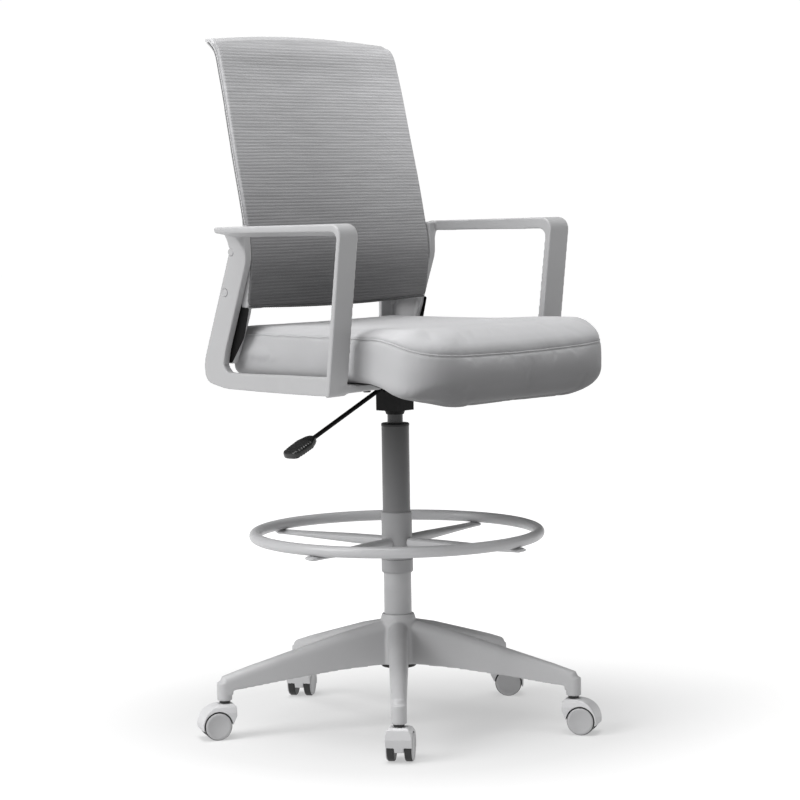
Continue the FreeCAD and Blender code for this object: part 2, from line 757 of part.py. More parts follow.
def lever():
    """Bent rod: a cranked arm over the valve pin, the pivot eye, and the long sloping outer arm."""
    radius = size("lever_radius")
    slope = math.radians(size("lever_slope"))
    outward = Vector(-math.cos(slope), 0, -math.sin(slope))
    arm = Part.makeCylinder(radius, size("lever_reach"), LEVER_PIVOT, outward)
    eye = Part.makeCylinder(radius + 1.2, 10, LEVER_PIVOT - Vector(0, 5, 0), Vector(0, 1, 0))
    pin_top = size("cylinder_top + valve_proud")
    nose_radius = 2.4
    knee = Vector(-5, 0, pin_top + nose_radius + 0.3)
    tip = knee + Vector(7.5, 0, 0)
    rise = knee - LEVER_PIVOT
    inner = Part.makeCylinder(nose_radius, rise.Length, LEVER_PIVOT, rise)
    over_pin = Part.makeCylinder(nose_radius, 7.5, knee, Vector(1, 0, 0))
    ends = [Part.makeSphere(nose_radius, spot) for spot in (knee, tip)]
    solid = arm.fuse([eye, inner, over_pin] + ends).removeSplitter()
    bore = Part.makeCylinder(2.05, 12, LEVER_PIVOT - Vector(0, 6, 0), Vector(0, 1, 0))
    made("lever_rod", solid.cut(bore))
    grip_start = LEVER_PIVOT + outward * (size("lever_reach") - 12)
    length = size("grip_length")
    half_width, half_height = size("grip_half_width"), size("grip_half_height")
    blade = plan_slab([
        (0, -half_width * 0.45, 2), (length * 0.35, -half_width, 8), (length, -half_width * 0.75, 7),
        (length, half_width * 0.75, 7), (length * 0.35, half_width, 8), (0, half_width * 0.45, 2),
    ], -half_height, half_height)
    edges = [e for e in blade.Edges if abs(e.BoundBox.ZLength) < 0.01]
    blade = blade.makeFillet(5.0, edges)
    frame = Placement(grip_start, Rotation(Vector(0, 1, 0), 180 - size("lever_slope")))
    blade.Placement = frame
    hole = Part.makeCylinder(radius, 12, grip_start, outward)
    made("lever_grip", blade.cut(hole))


lever()

# ---------------------------------------------------------------- seat

ARM_BOLTS = [(side * x, y) for side in (-1, 1) for x, y in ((190, -102), (190, -68))]


def underside(depth):
    """(y, z) line of the seat's underside, lowered by depth: flat, then falling to the front."""
    foot = size("seat_side_foot") - depth
    return [(180, foot), (-139, foot), (-184, foot - 10), (-226, foot - 27.5)]


def seat_cushion():
    """Foam body in its cover: waterfall front, tapering rear, and a recess for the board."""
    half, rear_half = size("seat_half_width"), size("seat_rear_half_width")
    front, rear = size("seat_front"), size("seat_rear")
    top, foot, nose = size("seat_top"), size("seat_side_foot"), size("seat_nose_foot")
    side = [(rear, foot, 10)] + [(y, z, 20) for y, z in underside(0)[1:3]] + [
        (front + 44, nose, 40), (front, nose + 30, 34), (front, top - 44, 24), (front + 34, top - 6, 60),
        (front + 130, top, 90), (rear, top - 3, 22)]
    plan = [(-half, front, 72), (half, front, 72), (half, -204, 200), (half - 20, -60, 400),
            (rear_half, rear, 18), (-rear_half, rear, 18), (20 - half, -60, 400), (-half, -204, 200)]
    face_on = [(-half, nose, 46), (half, nose, 46), (half, top, 16), (-half, top, 16)]
    body = slab_of(side, -half - 1, half + 1).common(plan_slab(plan, nose - 10, top + 10))
    body = body.common(front_slab(face_on, front - 1, rear + 1))
    gap = size("soft_gap")
    room = board_shape(gap, size("cover_top") - 5, size("board_top") + gap)
    body = body.cut(room)
    bolts = upright_cylinders(SEAT_BOLTS + ARM_BOLTS, size("bolt_radius") + gap, foot - 5, size("bolt_top") + 3)
    made("seat_cushion", body.cut(Part.makeCompound(bolts)))


def board_shape(grow, low, high):
    corners = [(-214 - grow, -176 - grow, 50), (214 + grow, -176 - grow, 50),
               (196 + grow, 166 + grow, 45), (-196 - grow, 166 + grow, 45)]
    return plan_slab(corners, low, high)


def seat_board():
    """Moulded plywood board that takes every bolt from below."""
    board = board_shape(0, size("cover_top"), size("board_top"))
    bolts = upright_cylinders(SEAT_BOLTS + ARM_BOLTS, size("bolt_radius"), 0, size("bolt_top"))
    made("seat_board", board.cut(Part.makeCompound(bolts)))


def under_cover():
    """Thin black shell that closes the underside and follows its fall to the front."""
    thick = size("cover_thick")
    upper = underside(0.5)
    lower = underside(0.5 + thick)
    side = [(y, z, 0) for y, z in upper] + [(y, z, 0) for y, z in reversed(lower)]
    plan = [(-226, -222, 60), (226, -222, 60), (206, 178, 52), (-206, 178, 52)]
    cover = slab_of(side, -240, 240).common(plan_slab(plan, 590, 660))
    bolts = upright_cylinders(SEAT_BOLTS + ARM_BOLTS, size("bolt_radius") + 0.3, 600, 660)
    made("under_cover", cover.cut(Part.makeCompound(bolts)))


def bolt(x, y, head_foot):
    """Bolt seen from below: a low round head and its shank."""
    head = Part.makeCylinder(size("bolt_head_radius"), size("bolt_head_height"), Vector(x, y, head_foot))
    shank = Part.makeCylinder(size("bolt_radius"), size("bolt_top") - head_foot, Vector(x, y, head_foot))
    return head.fuse(shank).removeSplitter()


seat_cushion()
seat_board()
under_cover()
made("seat_bolts", Part.makeCompound(
    [bolt(x, y, size("box_top - bolt_head_height")) for x, y in SEAT_BOLTS]))
ARM_FOOT_LOW = size("plate_top - foot_thick")
made("arm_bolts", Part.makeCompound(
    [bolt(x, y, ARM_FOOT_LOW - size("bolt_head_height")) for x, y in ARM_BOLTS]))

# ---------------------------------------------------------------- back

PROFILE = [(130, 735), (126, 771), (119, 820), (117.5, 862), (124, 905), (137, 971), (150, 1030),
           (164, 1095), (179, 1164), (187, 1196), (191, 1211), (197, 1223), (206, 1233), (217, 1242),
           (230, 1252)]


def profile_curve(depth):
    """Side profile of the back, moved rearwards by depth along its normal."""
    points = [Vector(0, y, z) for y, z in PROFILE]
    base = Part.BSplineCurve()
    base.interpolate(points)
    moved = []
    for point in points:
        tangent = base.tangent(base.parameter(point))[0]
        normal = Vector(0, tangent.z, -tangent.y).normalize()
        moved.append(point + normal * depth)
    curve = Part.BSplineCurve()
    curve.interpolate(moved)
    return curve


def back_slab(near, far, half_width):
    """Curved slab of the back between two depths behind its front surface."""
    front, rear = profile_curve(near), profile_curve(far)
    edges = [front.toShape(), rear.toShape(),
             Part.LineSegment(front.StartPoint, rear.StartPoint).toShape(),
             Part.LineSegment(front.EndPoint, rear.EndPoint).toShape()]
    face = Part.Face(Part.Wire(Part.__sortEdges__(edges)))
    face.translate(Vector(-half_width, 0, 0))
    return face.extrude(Vector(2 * half_width, 0, 0))


def back_outline(inset, y_low=60, y_high=300):
    """Front view of the back, drawn in from its edge, as a slab along Y."""
    wide = size("back_half_width") - inset
    head = size("back_head_half_width") - inset
    top = size("back_top") - inset
    crown = size("back_crown")
    foot = size("back_foot") + inset
    corner = max(size("back_corner") - inset * 0.6, 8)
    corners = [(-wide, foot, 8), (0, foot - size("foot_arch"), 4800), (wide, foot, 8), (wide, 1000, 300),
               (head, top, corner), (0, top + 2 * crown, 2400), (-head, top, corner), (-wide, 1000, 300)]
    return front_slab(corners, y_low, y_high)


def lug_outline():
    """(y, z) outline of the cheek plate that ties the back to an armrest's rear post."""
    return [(168, 664, 8), (213, 668, 10), (212, 745, 30), (172, 832, 60), (139, 884, 4),
            (127.5, 884, 2), (121.8, 862, 20), (123.5, 820, 20), (130.5, 775, 4), (130.5, 764, 0),
            (133, 752, 6), (147, 714, 30)]


SCREW_SPOTS = [(152.5, 862.5), (169, 791)]


def back_frame():
    """Moulded rim that carries the mesh, with a cheek plate down each side."""
    near = size("mesh_thick") + 0.5
    wide = size("back_half_width")
    slab = back_slab(near, near + size("frame_depth"), wide + 20)
    side_gap = 0.5
    rim = slab.common(back_outline(side_gap)).cut(back_outline(size("frame_rim")))
    outer = wide - side_gap
    cheek = slab_of(lug_outline(), outer - size("lug_thick"), outer)
    recess_corners = [(176, 680, 6), (202, 682, 8), (202, 748, 10), (188, 764, 10), (141, 763, 8), (155, 714, 30)]
    recess = slab_of(recess_corners, outer - size("lug_thick") - 1, outer - 4)
    rear_corners = [(207, 672, 2), (213, 672, 2), (210, 768, 3), (202, 768, 3)]
    rear_rib = slab_of(rear_corners, size("lug_rib_reach"), outer - 3)
    roof_corners = [(132, 762, 3), (206, 762, 3), (203, 774, 3), (131, 774, 3)]
    roof = slab_of(roof_corners, size("lug_rib_reach"), outer - 3)
    cheek = cheek.cut(recess).fuse([rear_rib, roof])
    screws = [Part.makeCylinder(size("screw_radius"), 60, Vector(outer - 30, y, z), Vector(1, 0, 0))
              for y, z in SCREW_SPOTS]
    cheek = cheek.cut(Part.makeCompound(screws))
    frame = rim.fuse([cheek, mirrored(cheek)]).removeSplitter()
    made("back_frame", frame)


def back_mesh():
    slab = back_slab(0, size("mesh_thick"), size("back_half_width"))
    made("back_mesh", slab.common(back_outline(size("bead_width") + 0.3)))


def mesh_bead():
    """Sewn edge strip that holds the mesh to the rim all the way round."""
    slab = back_slab(-0.8, size("mesh_thick") + 0.2, size("back_half_width") + 5)
    ring = back_outline(0.8).cut(back_outline(size("bead_width")))
    made("mesh_edge_strip", slab.common(ring))


def lug_plates():
    """Thin black steel plate between each cheek and the rear post of its armrest."""
    inner = size("back_half_width") - 0.3
    corners = [(170, 666, 6), (211, 670, 8), (210, 744, 30), (171, 830, 30), (140, 868, 6), (124, 862, 6),
               (122, 846, 30), (144, 774, 4), (144, 765, 2), (126, 764, 3), (139, 712, 30)]
    plate = slab_of(corners, inner - 0.1, size("post_inner") - 0.1)
    screws = [Part.makeCylinder(size("screw_radius") + 0.2, 60, Vector(inner - 30, y, z), Vector(1, 0, 0))
              for y, z in SCREW_SPOTS]
    plate = plate.cut(Part.makeCompound(screws))
    made("lug_plates", Part.makeCompound([plate, mirrored(plate)]))


back_frame()
back_mesh()
mesh_bead()
lug_plates()

# ---------------------------------------------------------------- armrests

def rest_and_front_post():
    """Wide ribbon: the rest and the front post, thinner along its outer edge."""
    wires = []
    top = size("rest_top")
    thin, thick_edge = size("rest_outer_thick"), size("rest_inner_thick")
    for x, thick, set_back in ((size("arm_inner"), thick_edge, 4), (size("arm_outer"), thin, 0)):
        corners = [
            (138, top - 2, 2), (-160.5 + set_back, top + 4, 22), (-127 + set_back, 621, 6),
            (-127 + thick, 621, 3), (-160 + thick, top - thick + 1, 13),
            (133 + (thick_edge - thick) * 0.4, top - thick - 2, 2)]
        wires.append(rounded_wire(corners, lambda u, v, x=x: Vector(x, u, v)))
    return Part.makeLoft(wires, True, True)


def rear_post():
    """Upright plate that leans back with the chair's back and rounds into the bottom bar."""
    corners = [
        (118, 905, 2), (116, 846, 60), (147, 756, 300), (170, 690, 40), (176, 662, 10), (166, 650, 8),
        (120, 649, 2), (120, 619.5, 2), (172, 621, 60), (222, 632, 24), (224, 668, 60), (206, 721, 200),
        (157, 863, 24), (144, 888, 20), (144, 905, 1)]
    return slab_of(corners, size("post_inner"), size("post_outer"))


def gusset():
    """Fillet that carries the rear post out into the underside of the rest."""
    near, far = size("post_outer") - 0.5, size("arm_outer") - 3
    top = size("rest_top") - 5
    foot = top - (far - near)
    turn = math.radians(45)
    reach = far - near
    hollow = Vector(far - reach * math.cos(turn), 0, foot + reach * math.sin(turn))
    corners = [Vector(near, 0, foot), Vector(far, 0, top), Vector(far, 0, top + 1), Vector(near, 0, top + 1)]
    edges = [Part.Arc(corners[0], hollow, corners[1]).toShape()]
    edges += [Part.LineSegment(corners[i], corners[(i + 1) % 4]).toShape() for i in (1, 2, 3)]
    fillet = Part.Face(Part.Wire(edges)).extrude(Vector(0, 200, 0))
    web = [(near - 1, 118, 0), (near - 1, 156, 0), (far + 1, 135, 0), (far + 1, 131, 0), (near + 30, 132, 0)]
    return fillet.common(plan_slab(web, foot - 5, top + 5))


def armrest():
    """Closed loop of one moulding, drawn at +X: ribbon, rear post, bottom bar and foot."""
    outer, inner = size("post_outer"), size("post_inner")
    bar = tapered_bar([
        (124, inner, outer, 619.5, 649), (40, inner + 4, outer + 5, 618.5, 650),
        (-60, inner + 20, outer + 23, 619.5, 651.5), (-116, inner + 29, outer + 34, 621, 654)])
    foot_corners = [(292, -127, 4), (276, -44, 6), (256, -40, 8), (size("foot_tip"), -54, 12),
                    (size("foot_tip"), -118, 12), (252, -127, 10)]
    foot = plan_slab(foot_corners, ARM_FOOT_LOW, size("plate_top"))
    loop = rest_and_front_post().fuse([rear_post(), bar, gusset(), foot]).removeSplitter()
    holes = upright_cylinders([spot for spot in ARM_BOLTS if spot[0] > 0], size("bolt_radius") + 0.3, 600, 660)
    holes += [Part.makeCylinder(size("screw_radius") + 0.2, 60, Vector(inner - 5, y, z), Vector(1, 0, 0))
              for y, z in SCREW_SPOTS]
    holes += [Part.makeCylinder(size("plug_radius"), 60, Vector(inner + 6, y, z), Vector(1, 0, 0))
              for y, z in SCREW_SPOTS]
    return loop.cut(Part.makeCompound(holes))


left_arm = armrest()
made("arm_left", left_arm)
made("arm_right", mirrored(left_arm))


def side_screws():
    """Screws through the rear posts into the back's cheeks, each under a round plug."""
    screws, plugs = [], []
    head_seat = size("post_inner") + 6
    for y, z in SCREW_SPOTS:
        shank = Part.makeCylinder(size("screw_radius"), 16, Vector(head_seat - 16, y, z), Vector(1, 0, 0))
        head = Part.makeCylinder(size("plug_radius") - 1, 3.5, Vector(head_seat, y, z), Vector(1, 0, 0))
        screw = shank.fuse(head).removeSplitter()
        plug = Part.makeCylinder(size("plug_radius"), size("post_outer") - head_seat - 3,
                                 Vector(head_seat + 3.6, y, z), Vector(1, 0, 0))
        rim = [e for e in plug.Edges if e.BoundBox.XLength < 0.01 and e.BoundBox.XMin > head_seat + 5]
        plug = plug.makeFillet(1.0, rim)
        screws += [screw, mirrored(screw)]
        plugs += [plug, mirrored(plug)]
    made("arm_screws", Part.makeCompound(screws))
    made("screw_plugs", Part.makeCompound(plugs))


side_screws()

# ---------------------------------------------------------------- check and write

doc.recompute()
for obj in doc.Objects:
    if {"Invalid", "Error"} & set(obj.State):
        raise RuntimeError(f"{obj.Label} failed to compute: {obj.State}")
os.makedirs("parts", exist_ok=True)
for piece in SUB_PARTS:
    if piece.Shape.isNull() or not piece.Shape.isValid():
        raise RuntimeError(f"{piece.Label} has no valid shape")
    piece.Shape.exportStep(os.path.join("parts", piece.Label + ".step"))
    print(f"{piece.Label}: {len(piece.Shape.Solids)} solid(s), {piece.Shape.Volume / 1000:.2f} cm3")
print(f"{len(SUB_PARTS)} sub-parts")
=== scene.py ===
import json
import math

import bpy
import numpy as np
from mathutils import Matrix, Vector, noise
from mathutils.bvhtree import BVHTree
from mathutils.kdtree import KDTree


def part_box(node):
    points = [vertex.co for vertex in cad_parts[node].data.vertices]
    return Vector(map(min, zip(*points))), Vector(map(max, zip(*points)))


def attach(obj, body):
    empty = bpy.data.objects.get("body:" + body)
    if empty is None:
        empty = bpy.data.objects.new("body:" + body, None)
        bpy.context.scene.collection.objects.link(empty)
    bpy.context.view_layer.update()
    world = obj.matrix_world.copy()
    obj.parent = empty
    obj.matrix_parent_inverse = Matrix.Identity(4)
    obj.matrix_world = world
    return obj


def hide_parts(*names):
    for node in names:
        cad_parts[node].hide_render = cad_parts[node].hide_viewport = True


# Looks of a grey drafting chair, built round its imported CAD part. Lengths are in metres, tones are linear.

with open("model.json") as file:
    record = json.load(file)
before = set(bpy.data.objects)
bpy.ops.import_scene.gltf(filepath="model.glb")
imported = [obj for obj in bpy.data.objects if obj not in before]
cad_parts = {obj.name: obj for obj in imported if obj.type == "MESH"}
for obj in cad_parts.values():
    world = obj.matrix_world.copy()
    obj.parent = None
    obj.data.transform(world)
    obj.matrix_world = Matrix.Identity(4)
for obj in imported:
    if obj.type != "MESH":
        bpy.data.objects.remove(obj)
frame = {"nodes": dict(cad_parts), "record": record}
NODES = frame["nodes"]
SCENE = bpy.context.scene
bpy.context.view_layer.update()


# ---------------------------------------------------------------- material helpers

class Shader:
    """Thin wrapper that adds nodes to a new material and links them."""

    def __init__(self, name):
        self.material = bpy.data.materials.new(name)
        self.material.use_nodes = True
        self.nodes = self.material.node_tree.nodes
        self.links = self.material.node_tree.links
        self.bsdf = self.nodes["Principled BSDF"]
        self.coords = self.nodes.new("ShaderNodeTexCoord").outputs["Object"]

    def add(self, kind, values=None, **inputs):
        node = self.nodes.new(kind)
        for key, value in (values or {}).items():
            setattr(node, key, value)
        for key, value in inputs.items():
            socket = node.inputs[key.replace("_", " ")]
            if isinstance(value, bpy.types.NodeSocket):
                self.links.new(value, socket)
            else:
                socket.default_value = value
        return node

    def stretched(self, scale):
        node = self.add("ShaderNodeMapping", Vector=self.coords)
        node.inputs["Scale"].default_value = scale
        return node.outputs["Vector"]

    def noise(self, scale, detail=2.0, vector=None):
        return self.add("ShaderNodeTexNoise", Vector=vector or self.coords, Scale=scale, Detail=detail).outputs["Fac"]

    def math(self, operation, first, second=0.0):
        node = self.add("ShaderNodeMath", {"operation": operation})
        for socket, value in zip(node.inputs, (first, second)):
            if isinstance(value, bpy.types.NodeSocket):
                self.links.new(value, socket)
            else:
                socket.default_value = value
        return node.outputs["Value"]

    def axes(self, vector):
        split = self.add("ShaderNodeSeparateXYZ", Vector=vector)
        return [split.outputs[axis] for axis in "XYZ"]

    def weave(self, pitch):
        """Plain weave from -1 to 1, laid flat on whichever way the surface faces."""
        normal = self.nodes.new("ShaderNodeTexCoord").outputs["Normal"]
        waves = [self.math("SINE", self.math("MULTIPLY", axis, 2 * math.pi / pitch))
                 for axis in self.axes(self.coords)]
        facing = [self.math("POWER", self.math("ABSOLUTE", axis), 4.0) for axis in self.axes(normal)]
        parts = [self.math("MULTIPLY", self.math("MULTIPLY", waves[i - 2], waves[i - 1]), facing[i])
                 for i in range(3)]
        return self.math("ADD", self.math("ADD", parts[0], parts[1]), parts[2])

    def by_height(self, stops):
        """Tone that follows the height above the floor, through (height, tone) stops."""
        low, high = stops[0][0], stops[-1][0]
        share = self.mapped(self.axes(self.coords)[2], 0.0, 1.0, low, high)
        node = self.add("ShaderNodeValToRGB", Fac=share)
        elements = node.color_ramp.elements
        for height, _ in stops[1:-1]:
            elements.new((height - low) / (high - low))
        for element, (_, tone) in zip(elements, stops):
            element.color = (tone, tone, tone * 1.02, 1.0)
        return node.outputs["Color"]

    def mapped(self, value, low, high, from_low=0.3, from_high=0.7):
        node = self.add("ShaderNodeMapRange", Value=value)
        node.inputs["From Min"].default_value = from_low
        node.inputs["From Max"].default_value = from_high
        node.inputs["To Min"].default_value = low
        node.inputs["To Max"].default_value = high
        return node.outputs["Result"]

    def blend(self, factor, low, high):
        node = self.add("ShaderNodeMix", {"data_type": "RGBA"})
        self.links.new(factor, node.inputs[0])
        for socket, value in ((node.inputs[6], low), (node.inputs[7], high)):
            if isinstance(value, bpy.types.NodeSocket):
                self.links.new(value, socket)
            else:
                socket.default_value = (*value, 1.0)
        return node.outputs[2]

    def multiplied(self, color, by, amount=1.0):
        """Colour times another colour or value, by an amount from 0 to 1."""
        node = self.add("ShaderNodeMix", {"data_type": "RGBA", "blend_type": "MULTIPLY"})
        for socket, value in ((node.inputs[0], amount), (node.inputs[6], color), (node.inputs[7], by)):
            if isinstance(value, bpy.types.NodeSocket):
                self.links.new(value, socket)
            else:
                socket.default_value = value
        return node.outputs[2]

    def bump(self, height, strength, distance, after=None):
        node = self.add("ShaderNodeBump", Height=height, Strength=strength, Distance=distance)
        if after is not None:
            self.links.new(after, node.inputs["Normal"])
        return node.outputs["Normal"]

    def finish(self, color, roughness, normal=None, **values):
        for name, value in (("Base Color", color), ("Roughness", roughness), ("Normal", normal)):
            if value is None:
                continue
            socket = self.bsdf.inputs[name]
            if isinstance(value, bpy.types.NodeSocket):
                self.links.new(value, socket)
            else:
                socket.default_value = value
        for name, value in values.items():
            self.bsdf.inputs[name.replace("_", " ")].default_value = value
        return self.material


def grey(value, tint=1.0):
    return (value, value, value * tint)


def moulded(name, tone, roughness=0.5, grain=0.12, tint=1.015, scale=1900.0):
    """Moulded plastic: spark-eroded grain, faint clouding and slightly uneven gloss."""
    shader = Shader(name)
    cloud = shader.noise(9.0, 4.0)
    color = shader.blend(cloud, grey(tone * 0.95, tint), grey(tone * 1.05, tint))
    rough = shader.mapped(shader.noise(60.0, 3.0), roughness - 0.05, roughness + 0.06)
    normal = shader.bump(shader.noise(scale, 2.0), grain, 0.00025)
    return shader.finish(color, rough, normal, Specular_IOR_Level=0.45)


def coated(name, tone, roughness=0.42, tint=1.02, grain=0.1, specular=0.5):
    """Powder-coated metal with a fine orange peel."""
    shader = Shader(name)
    color = shader.blend(shader.noise(14.0, 3.0), grey(tone * 0.95, tint), grey(tone * 1.05, tint))
    rough = shader.mapped(shader.noise(80.0, 2.0), roughness - 0.06, roughness + 0.06)
    normal = shader.bump(shader.noise(900.0, 1.0), grain, 0.0003)
    return shader.finish(color, rough, normal, Specular_IOR_Level=specular)


def woven(name, tone, pitch=0.0018, depth=0.35, foot=None):
    """Upholstery cloth: a plain weave with fuzz between the threads and slow changes of shade.

    foot is (upper height, lower height, share): painted shade, in which faces turned forward or down darken to that
    share between the two heights."""
    shader = Shader(name)
    weave = shader.mapped(shader.weave(pitch), 0.0, 1.0, -0.8, 0.8)
    fuzz = shader.noise(1500.0, 3.0)
    shade = shader.blend(shader.noise(11.0, 4.0), grey(tone * 0.94, 1.02), grey(tone * 1.06, 1.02))
    threads = shader.blend(weave, grey(0.82), grey(1.0))
    if foot:
        # Painted shade on faces turned forward or down, growing lower on the cloth.
        upper, lower, share = foot
        facing = shader.axes(shader.nodes.new("ShaderNodeTexCoord").outputs["Normal"])
        turned = shader.mapped(shader.math("ADD", facing[1], facing[2]), 1.0, 0.0, -1.0, 0.0)
        sunk = shader.mapped(shader.axes(shader.coords)[2], 1.0, 0.0, lower, upper)
        painted_shade = shader.math("MULTIPLY", turned, sunk)
        shade = shader.multiplied(shade, (share, share, share, 1.0), painted_shade)
    color = shader.multiplied(shade, threads)
    normal = shader.bump(weave, depth, 0.0004, shader.bump(fuzz, 0.25, 0.0003))
    return shader.finish(color, 0.85, normal, Specular_IOR_Level=0.2, Sheen_Weight=0.15)


def knitted(name, stops):
    """Ribbed open knit with painted shade and painted light: its tone follows the height through the stops, darker
    lower down, and it is painted lighter towards +x.
    """
    shader = Shader(name)
    x, _, z = shader.axes(shader.coords)
    course = shader.math("SINE", shader.math("MULTIPLY", z, 2 * math.pi / 0.0014))
    stitch = shader.math("SINE", shader.math("MULTIPLY", x, 2 * math.pi / 0.0021))
    loops = shader.mapped(shader.math("MULTIPLY", course, stitch), 0.0, 1.0, -0.8, 0.8)
    wavering = shader.mapped(shader.noise(26.0, 3.0, shader.stretched((0.35, 1.0, 6.0))), 0.90, 1.08)
    # Painted light: the knit is lighter towards +x.
    painted_side_light = shader.mapped(x, 0.94, 1.3, -0.05, 0.26)
    holes = shader.math("MULTIPLY", shader.mapped(loops, 0.84, 1.0, 0.0, 1.0), wavering)
    holes = shader.math("MULTIPLY", holes, painted_side_light)
    color = shader.multiplied(shader.by_height(stops), holes)
    normal = shader.bump(loops, 0.4, 0.0003, shader.bump(shader.noise(1800.0, 2.0), 0.2, 0.0002))
    return shader.finish(color, 0.7, normal, Specular_IOR_Level=0.25)


def coat_with_painted_shade(name, stops, roughness=0.36):
    """Powder coat over a fine orange peel, with painted shade: its tone follows the height through the stops."""
    shader = Shader(name)
    cloud = shader.mapped(shader.noise(14.0, 3.0), 0.95, 1.05)
    color = shader.multiplied(shader.by_height(stops), cloud)
    rough = shader.mapped(shader.noise(80.0, 2.0), roughness - 0.06, roughness + 0.06)
    normal = shader.bump(shader.noise(900.0, 1.0), 0.1, 0.0003)
    return shader.finish(color, rough, normal, Specular_IOR_Level=0.5)


def metal(name, tone, roughness=0.3):
    shader = Shader(name)
    streaks = shader.noise(300.0, 3.0, shader.stretched((1.0, 1.0, 0.04)))
    color = shader.blend(streaks, grey(tone * 0.88), grey(tone * 1.1))
    rough = shader.mapped(streaks, roughness - 0.06, roughness + 0.1)
    return shader.finish(color, rough, None, Metallic=1.0)


MATERIALS = {
    "base_plastic": moulded("base_plastic", 0.43, 0.46),
    "black_plastic": moulded("black_plastic", 0.006, 0.55),
    # Painted shade: the column darkens upward from the foot ring to under the seat.
    "column_paint": coat_with_painted_shade("column_paint", [(0.26, 0.36), (0.40, 0.13), (0.55, 0.032)]),
    "bearing_steel": metal("bearing_steel", 0.5),
    "bright_steel": metal("bright_steel", 0.6, 0.25),
    "bump_rubber": moulded("bump_rubber", 0.02, 0.7),
    "black_cylinder": coated("black_cylinder", 0.025, 0.25),
    "ring_sleeve": coated("ring_sleeve", 0.26, 0.42),
    "ring_paint": coated("ring_paint", 0.4, 0.36),
    "black_paint": coated("black_paint", 0.003, 0.55, specular=0.15),
    "grip_plastic": moulded("grip_plastic", 0.012, 0.22, 0.06),
    # Painted shade: the cushion cloth darkens down its front and underside, below 0.725 m.
    "seat_fabric": woven("seat_fabric", 0.41, foot=(0.725, 0.600, 0.22)),
    "plywood": moulded("plywood", 0.35, 0.7),
    "black_bolts": coated("black_bolts", 0.02, 0.35),
    "arm_plastic": moulded("arm_plastic", 0.34, 0.46),
    "frame_plastic": moulded("frame_plastic", 0.36, 0.46),
    # Painted shade: the knit's tone falls from the middle of the back towards its lower edge, and dips again at the
    # top edge.
    "mesh_fabric": knitted("mesh_fabric", [
        (0.765, 0.12), (0.82, 0.15), (0.90, 0.26), (0.97, 0.32),
        (1.05, 0.39), (1.15, 0.44), (1.21, 0.39), (1.25, 0.27)]),
    "strip_fabric": woven("strip_fabric", 0.42, 0.0014, 0.25),
    "hood_plastic": moulded("hood_plastic", 0.55, 0.4),
    "wheel_nylon": moulded("wheel_nylon", 0.42, 0.35),
    # tread_shade: near-black, for the wheel treads, and as painted shade on the steel caster stems.
    "tread_shade": moulded("tread_shade", 0.02, 0.45),
    # groove_shade: near-black, for the lower hem, and as painted shade in the cords laid in the rim's side grooves.
    "groove_shade": moulded("groove_shade", 0.06, 0.7),
}


def dress(piece, slot):
    piece.data.materials.clear()
    piece.data.materials.append(MATERIALS[slot])


for row in frame["record"]["subparts"]:
    dress(NODES[row["node"]], row["material_slot"])
# Painted shade: the steel caster stems take the near-black tread_shade colour, for the shade under their hoods.
for number in range(1, 6):
    NODES[f"caster_{number}_stem"].data.materials[0] = MATERIALS["tread_shade"]

# ---------------------------------------------------------------- mesh helpers

BODY_OF = {node: body for body, nodes in frame["record"]["behaviour"]["bodies"].items() for node in nodes}


def linked(name, mesh):
    piece = bpy.data.objects.new(name, mesh)
    SCENE.collection.objects.link(piece)
    return piece


def mesh_from(name, verts, faces):
    mesh = bpy.data.meshes.new(name)
    mesh.from_pydata([tuple(v) for v in verts], [], faces)
    mesh.update()
    mesh.polygons.foreach_set("use_smooth", [True] * len(mesh.polygons))
    return linked(name, mesh)


def applied(piece):
    """The piece with its modifiers made part of its mesh."""
    graph = bpy.context.evaluated_depsgraph_get()
    mesh = bpy.data.meshes.new_from_object(piece.evaluated_get(graph))
    piece.modifiers.clear()
    piece.data = mesh
    mesh.polygons.foreach_set("use_smooth", [True] * len(mesh.polygons))
    return piece


def points_of(piece):
    flat = np.empty(len(piece.data.vertices) * 3)
    piece.data.vertices.foreach_get("co", flat)
    return flat.reshape(-1, 3)


def set_points(piece, points):
    piece.data.vertices.foreach_set("co", points.ravel())
    piece.data.update()


def remeshed(piece, voxel, rounds):
    grid = piece.modifiers.new("remesh", "REMESH")
    grid.mode = "VOXEL"
    grid.voxel_size = voxel
    grid.use_smooth_shade = True
    soften = piece.modifiers.new("soften", "SMOOTH")
    soften.factor = 0.5
    soften.iterations = rounds
    return applied(piece)


def stands_for(piece, slot, *nodes):
    """Rides the piece on its nodes' body, gives it its material and hides the nodes."""
    piece.data.materials.clear()
    piece.data.materials.append(MATERIALS[slot])
    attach(piece, BODY_OF[nodes[0]])
    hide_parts(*nodes)
    return piece


def moulding(node, name, slot, voxel, rounds):
    """Copy of a CAD node with the small rounded edges of a real moulding."""
    source = NODES[node]
    mesh = source.data.copy()
    mesh.transform(source.matrix_world)
    piece = remeshed(linked(name, mesh), voxel, rounds)
    return stands_for(piece, slot, node)


